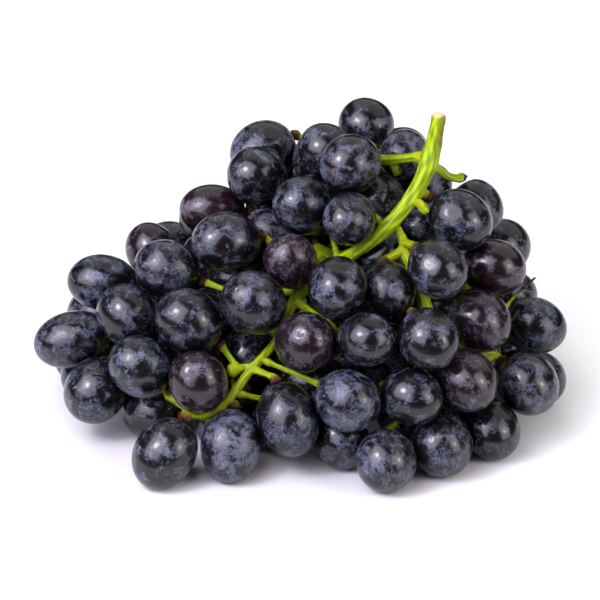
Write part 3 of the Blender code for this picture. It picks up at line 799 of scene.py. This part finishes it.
print("skin nodes:", len(tree.nodes))

# %% [markdown]
# ## Fresh green stalk
#
# The stalk is living wood: bright yellow-green, with a soft wax sheen. Its ridges are
# coloured paler and its grooves darker. This is partly the stem's own stripes and partly
# painted shade in the grooves. Small corky scars fleck it, and the knots are tinged yellow.

# %% The living green
FLECK_SIZE = 2.2 * MM
KNOT_TINGE = 0.5

green, tree, shader = new_material("fresh_green_stalk")
place = add_node(tree, "ShaderNodeTexCoord").outputs["Object"]
masks = {
    name: add_node(tree, "ShaderNodeAttribute", attribute_name=name).outputs["Fac"]
    for name in ("ridge", "cap", "cut", "dry", "knot")
}
blotch = add_node(
    tree,
    "ShaderNodeTexNoise",
    {"Vector": place, "Scale": 1 / FLECK_SIZE, "Detail": 4.0, "Roughness": 0.6},
).outputs["Fac"]
# Pale on the ridges, dark in the grooves: partly the stem's own stripes, partly painted shade.
height = add_node(
    tree,
    "ShaderNodeMapRange",
    {"Value": masks["ridge"], "From Min": -0.8, "From Max": 0.8, "To Min": 0.0, "To Max": 1.0},
).outputs["Result"]
stem = add_node(
    tree,
    "ShaderNodeMix",
    {0: height, COLOUR_A: linear("587303"), COLOUR_B: linear("9cb408")},
    data_type="RGBA",
).outputs[COLOUR_OUT]
fleck = add_node(
    tree,
    "ShaderNodeMapRange",
    {"Value": blotch, "From Min": 0.62, "From Max": 0.7, "To Min": 0.0, "To Max": 0.8},
).outputs["Result"]
flecked = add_node(
    tree, "ShaderNodeMix", {0: fleck, COLOUR_A: stem, COLOUR_B: linear("8a5a34")}, data_type="RGBA"
).outputs[COLOUR_OUT]
tinge = add_node(
    tree, "ShaderNodeMath", {0: masks["knot"], 1: KNOT_TINGE}, operation="MULTIPLY"
).outputs[0]
joined = add_node(
    tree,
    "ShaderNodeMix",
    {0: tinge, COLOUR_A: flecked, COLOUR_B: linear("a0a40c")},
    data_type="RGBA",
).outputs[COLOUR_OUT]
print("nodes for the green:", len(tree.nodes))

# %% [markdown]
# The other finishes lie over the green, each where its mask says: rough red-brown cork on
# the caps, dark dry wood on the twig and the streak, and pale tan wood on the cut end.

# %% Cork, dry wood and the cut
cork = add_node(
    tree,
    "ShaderNodeMix",
    {0: blotch, COLOUR_A: linear("1e0d09"), COLOUR_B: linear("5e3323")},
    data_type="RGBA",
).outputs[COLOUR_OUT]
capped = add_node(
    tree, "ShaderNodeMix", {0: masks["cap"], COLOUR_A: joined, COLOUR_B: cork}, data_type="RGBA"
).outputs[COLOUR_OUT]
dried = add_node(
    tree,
    "ShaderNodeMix",
    {0: masks["dry"], COLOUR_A: capped, COLOUR_B: linear("52361f")},
    data_type="RGBA",
).outputs[COLOUR_OUT]
ended = add_node(
    tree,
    "ShaderNodeMix",
    {0: masks["cut"], COLOUR_A: dried, COLOUR_B: linear("d9b48a")},
    data_type="RGBA",
).outputs[COLOUR_OUT]
tree.links.new(ended, shader.inputs["Base Color"])
rough = add_node(
    tree,
    "ShaderNodeMapRange",
    {"Value": masks["cap"], "From Min": 0.0, "From Max": 1.0, "To Min": 0.48, "To Max": 0.8},
).outputs["Result"]
tree.links.new(rough, shader.inputs["Roughness"])
bump = add_node(
    tree, "ShaderNodeBump", {"Height": blotch, "Strength": 0.3, "Distance": 0.15 * MM}
).outputs["Normal"]
tree.links.new(bump, shader.inputs["Normal"])
shader.inputs["IOR"].default_value = 1.45
shader.inputs["Specular IOR Level"].default_value = 0.25
print("stalk nodes:", len(tree.nodes))

# %% [markdown]
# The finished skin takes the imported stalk's place.

# %% Stalk into the scene
wrapped.materials.clear()
wrapped.materials.append(green)
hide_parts("stalk")
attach(stalk, "root")
print("stalk stands for:", stalk_node.name)

# %% [markdown]
# ## Put the bunch together
#
# Every berry gets its own tint and dustiness, so that no two look the same. Some front
# berries are plainly plum, dusty or clean. Those behind get a little less bloom, as painted
# shade that darkens them.

# %% Tint, dustiness and painted shade of each berry
DUST_SPREAD = 0.03
# Berries behind get this much less bloom, as painted shade that darkens them.
HIDDEN_PAINTED_SHADE = -0.02
NAMED_DUST = 0.035
PLUM_BERRIES = (
    "left_shoulder_berry_3",
    "left_shoulder_berry_6",
    "left_flank_berry_1",
    "tip_berry_3",
    "heart_berry_2",
    "right_shoulder_berry_4",
    "right_flank_berry_1",
    "right_flank_berry_3",
)
DUSTY_BERRIES = (
    "crown_berry_7",
    "left_shoulder_berry_5",
    "tip_berry_5",
    "foot_berry_1",
    "foot_berry_2",
    "right_shoulder_berry_3",
)
CLEAN_BERRIES = (
    "crown_berry_5",
    "left_shoulder_berry_3",
    "left_flank_berry_1",
    "tip_berry_2",
    "heart_berry_4",
    "heart_berry_5",
    "foot_berry_3",
    "foot_berry_4",
    "foot_berry_7",
)
LOOK_SEED = 300


def tint_dust_and_shade(number):
    """How plum berry number is, from 0 to 1, and how dusty it is beyond the usual, less so on hidden
    berries as painted shade.
    """
    berry = berries[number]
    chance = np.random.default_rng(number + LOOK_SEED)
    plum = chance.uniform(0.6, 1) if berry["node"] in PLUM_BERRIES else chance.uniform(0, 0.35)
    dust = DUST_SPREAD * np.clip(chance.normal(), -1.5, 1.5)
    dust += NAMED_DUST * ((berry["node"] in DUSTY_BERRIES) - (berry["node"] in CLEAN_BERRIES))
    # Painted shade: berries behind lose a little bloom, so they look darker.
    if not berry["front"]:
        dust += HIDDEN_PAINTED_SHADE
    return plum, dust


print("plum:", len(PLUM_BERRIES), "dusty:", len(DUSTY_BERRIES), "clean:", len(CLEAN_BERRIES))

# %% [markdown]
# Each node's berries become one object that stands for it. Each berry is a copy of the
# ball with its corners moved, and what the skin needs to know is kept corner by corner.

# %% Berries into the scene
for node in berry_nodes:
    members = [number for number, b in enumerate(berries) if b["node"] == node.name]
    bm = bmesh.new()
    masks = {"touch": [], "scar": [], "tint": [], "dust": []}
    for number in members:
        ball = balls[berries[number]["front"]]
        directions = np.array([v.co for v in ball.vertices])
        spots, touching, scarred = shape_berry(number, directions)
        copy = ball.copy()
        copy.vertices.foreach_set("co", spots.reshape(-1))
        bm.from_mesh(copy)
        bpy.data.meshes.remove(copy)
        plum, dusty = tint_dust_and_shade(number)
        masks["touch"] += list(touching)
        masks["scar"] += list(scarred)
        masks["tint"] += [plum] * len(spots)
        masks["dust"] += [dusty] * len(spots)
    mesh = bpy.data.meshes.new(f"{node.name}_skin")
    bmesh.ops.recalc_face_normals(bm, faces=bm.faces)
    bm.to_mesh(mesh)
    bm.free()
    mesh.shade_smooth()
    paint(mesh, masks)
    mesh.materials.append(skin)
    piece = bpy.data.objects.new(f"{node.name}_fruit", mesh)
    bpy.context.scene.collection.objects.link(piece)
    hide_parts(node.name)
    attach(piece, "root")
for ball in balls.values():
    bpy.data.meshes.remove(ball)
shown = [o for o in bpy.data.objects if o.type == "MESH" and not o.hide_render]
print("meshes:", len(shown), "with", sum(len(o.data.polygons) for o in shown), "faces")
